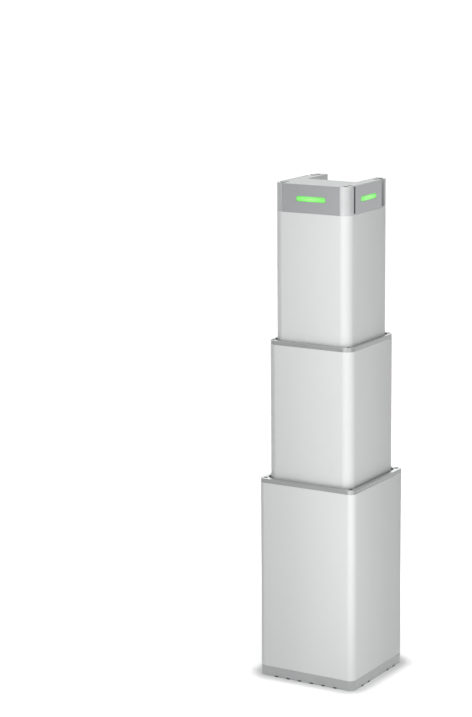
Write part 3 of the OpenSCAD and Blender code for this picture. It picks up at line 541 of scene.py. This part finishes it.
def light_bar(node, turn):
    """A moulded diffuser with a crowned face and a flange behind the panel. turn brings -Y to its outward
    side."""
    low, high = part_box(node)
    along = (high.x - low.x, high.y - low.y)[abs(turn) == 90]
    thick = (high.y - low.y, high.x - low.x)[abs(turn) == 90]
    tall = high.z - low.z
    flange_ends, flange_sides, flange_t, edge = 3.5 * MM, 3 * MM, 1.9 * MM, 0.3 * MM
    length, height = along - 2 * flange_ends, tall - 2 * flange_sides
    # In mm: the radius of the corners, and the inset and drop of each step of the crowned face
    corner = 2.4
    crown = ((0.12, 0.28), (0.35, 0.15), (0.8, 0.06), (1.8, 0.015), (2.8, 0))
    verts, faces, rings = [], [], []

    def ring(outline_points, y):
        rings.append((len(verts), len(outline_points)))
        verts.extend((x, y, z) for x, z in outline_points)

    front, back = -thick / 2, thick / 2
    ring(outline(along - 2 * edge, tall - 2 * edge, 0.5 * MM), back)
    ring(outline(along, tall, 0.8 * MM), back - edge)
    ring(outline(along, tall, 0.8 * MM), back - flange_t)
    ring(outline(length, height, corner * MM), back - flange_t)
    ring(outline(length, height, corner * MM), front + 0.5 * MM)
    for inset, drop in crown:
        radius = max(0.3, corner - inset) * MM
        ring(outline(length - 2 * inset * MM, height - 2 * inset * MM, radius), front + drop * MM)
    for (first, count), (second, _) in zip(rings, rings[1:]):
        faces += band(first, second, count)
    for first, count in (rings[0], rings[-1]):
        faces.append(tuple(first + i for i in range(count)))
    place = Matrix.Translation((low + high) / 2) @ Matrix.Rotation(math.radians(turn), 4, "Z")
    new_piece(node + "_diffuser", verts, faces, "light_bar", frame["nodes"][node]["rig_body"], node, place)


light_bar("front_light", 0)
light_bar("right_light", 90)
light_bar("left_light", -90)


def foot_pads():
    """Small black pads plugged into the notches along the foot's lower edge, each with a thin lip on the
    face.
    They are a dark fill that paints the shade inside the notches."""
    pitch, face, corner = 22.5 * MM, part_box("base_plate")[1].x, 0.35 * MM
    # In mm: the lift off the floor, and each section's width, height and distance out from the face
    lift = 0.02
    sections = ((4.9, 1.45, -2.9), (4.9, 1.45, 0.05), (6.4, 2.2, 0.05), (6.4, 2.2, 0.35), (6.0, 2.0, 0.5))
    verts, faces = [], []
    for turn in (0, 90, 180, 270):
        a = math.radians(turn)
        for k in (-2.5, -1.5, -0.5, 0.5, 1.5, 2.5):
            # The left and right sides go without the middle pair
            if turn % 180 and abs(k) < 1:
                continue
            rings = []
            for width, height, out in sections:
                rings.append(len(verts))
                for x, z in outline(width * MM, height * MM, corner, 3):
                    x, y, z = x + k * pitch, -face - out * MM, z + (height / 2 + lift) * MM
                    verts.append((x * math.cos(a) - y * math.sin(a), x * math.sin(a) + y * math.cos(a), z))
            around = rings[1] - rings[0]
            for first, second in zip(rings, rings[1:]):
                faces += band(first, second, around)
            for end in (rings[0], rings[-1]):
                faces.append(tuple(range(end, end + around)))
    new_piece("foot_pads", verts, faces, "wiper_rubber", frame["nodes"]["base_plate"]["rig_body"])


foot_pads()


# ------------------------------------------------------------------ floor and light
WHITE_SEEN = 1.0


def seen_directly(tree):
    """1 for rays that see the background themselves, by eye, gloss or glass, and 0 for rays that only gather
    light."""
    path = tree.nodes.new("ShaderNodeLightPath")
    total = path.outputs["Is Camera Ray"]
    for name in ("Is Glossy Ray", "Is Transmission Ray"):
        add = tree.nodes.new("ShaderNodeMath")
        add.operation, add.use_clamp = "ADD", True
        tree.links.new(total, add.inputs[0])
        tree.links.new(path.outputs[name], add.inputs[1])
        total = add.outputs["Value"]
    return total


def ranged(tree, value, low, high):
    made = tree.nodes.new("ShaderNodeMapRange")
    made.inputs["To Min"].default_value, made.inputs["To Max"].default_value = low, high
    tree.links.new(value, made.inputs["Value"])
    return made.outputs["Result"]


def white_world(gather):
    world = bpy.data.worlds.new("studio")
    scene.world = world
    world.use_nodes = True
    tree = world.node_tree
    sky = tree.nodes["Background"]
    sky.inputs["Color"].default_value = (1, 1, 1, 1)
    tree.links.new(ranged(tree, seen_directly(tree), gather, WHITE_SEEN), sky.inputs["Strength"])


def floor(albedo, rises):
    """A pale floor. The part of its white that is only seen rises in steps (start, end, amount) with the
    distance from the column's square foot, and makes up for the lamps' falling off. Close to the foot, where
    it is still low, it paints a soft shade round the foot on top of the real shadow."""
    half_width, below, gloss_white = 60, 0.2 * MM, 0.85
    mesh = bpy.data.meshes.new("studio_floor")
    work = bmesh.new()
    bmesh.ops.create_grid(work, x_segments=8, y_segments=8, size=half_width)
    work.to_mesh(mesh)
    work.free()
    made = bpy.data.objects.new("studio_floor", mesh)
    scene.collection.objects.link(made)
    made.location = (0, 0, -below)
    p = Paint("studio_white", (albedo,) * 3, 0.9, 0.0, Specular_IOR_Level=0.0)
    mesh.materials.append(p.material)
    # Distance from a square that lies inside the foot's own, so that the contours round off at its corners
    away = p.coords()
    inside = 0.02
    half = cad_high.x - inside
    for operation, second in (("ABSOLUTE", None), ("SUBTRACT", (half, half, 0)), ("MAXIMUM", (0, 0, 0)),
                              ("LENGTH", None)):
        step = p.node("ShaderNodeVectorMath", operation=operation)
        p.link(away, step.inputs[0])
        if second:
            step.inputs[1].default_value = second
        away = step.outputs["Value" if operation == "LENGTH" else "Vector"]
    glow = None
    for start, end, amount in rises:
        rise = p.node("ShaderNodeMapRange", interpolation_type="SMOOTHSTEP")
        for key, value in (("From Min", start + inside), ("From Max", end + inside),
                           ("To Min", 0.0), ("To Max", amount)):
            rise.inputs[key].default_value = value
        p.link(away, rise.inputs["Value"])
        if glow is None:
            glow = rise.outputs["Result"]
        else:
            add = p.node("ShaderNodeMath", operation="ADD")
            p.link(glow, add.inputs[0])
            p.link(rise.outputs["Result"], add.inputs[1])
            glow = add.outputs["Value"]
    # Gloss sees the floor white right up to the foot
    mirrored = p.node("ShaderNodeMath", operation="MAXIMUM")
    p.link(glow, mirrored.inputs[0])
    by_gloss = p.node("ShaderNodeLightPath").outputs["Is Glossy Ray"]
    p.link(ranged(p.tree, by_gloss, 0, gloss_white), mirrored.inputs[1])
    both = p.node("ShaderNodeMath", operation="MULTIPLY")
    p.link(mirrored.outputs["Value"], both.inputs[0])
    p.link(seen_directly(p.tree), both.inputs[1])
    p.put("Emission Color", (1, 1, 1, 1))
    p.link(both.outputs["Value"], p.shader.inputs["Emission Strength"])


def lamp(name, place, target, width, height, radiance):
    """A soft box of that radiance, aimed at a point."""
    data = bpy.data.lights.new(name, "AREA")
    data.shape, data.size, data.size_y = "RECTANGLE", width, height
    data.energy = radiance * math.pi * width * height
    made = bpy.data.objects.new(name, data)
    made.location = place
    made.rotation_euler = (Vector(target) - Vector(place)).to_track_quat("-Z", "Y").to_euler()
    made.visible_camera = False
    scene.collection.objects.link(made)
    return made


def side_lamp(name, azimuth, away, height, width, tall, radiance):
    """A soft box round the column that faces its axis. Azimuth 0 is in front, 90 to the right."""
    a = math.radians(azimuth)
    place = (math.sin(a) * away, -math.cos(a) * away, height)
    return lamp(name, place, (0, 0, height), width, tall, radiance)


scene.view_settings.view_transform = "Standard"
white_world(gather=0.1)
# The seen white stays low close to the foot: a painted soft shade round it, on top of the real shadow
floor(albedo=0.8, rises=((0.002, 0.035, 0.5), (0.035, 0.5, 0.52)))
# Three upright strips in front
for azimuth, radiance in ((18, 2.4), (42, 0.3), (58, 1.6)):
    side_lamp("key_%d" % azimuth, azimuth, away=0.45, height=0.68, width=0.16, tall=1.24, radiance=radiance)
# Two small lamps even out the foot and the upper tube
side_lamp("low", azimuth=42, away=0.36, height=0.16, width=0.2, tall=0.28, radiance=0.55)
side_lamp("high", azimuth=5, away=0.45, height=0.7, width=0.3, tall=0.24, radiance=0.75)
# The sides the photo doesn't show
side_lamp("left", azimuth=-105, away=0.8, height=0.75, width=0.25, tall=1.3, radiance=1.5)
side_lamp("back", azimuth=-158, away=1.1, height=0.5, width=0.8, tall=0.88, radiance=1.7)
# Only gloss sees this one, as a highlight on the right and rear faces
gloss = side_lamp("gloss", azimuth=149, away=1.5, height=0.36, width=0.9, tall=0.7, radiance=0.45)
gloss.visible_diffuse = False
lamp("top", place=(0.2, -0.3, 2.4), target=(0, 0, 0.5), width=1.6, height=1.6, radiance=2.9)
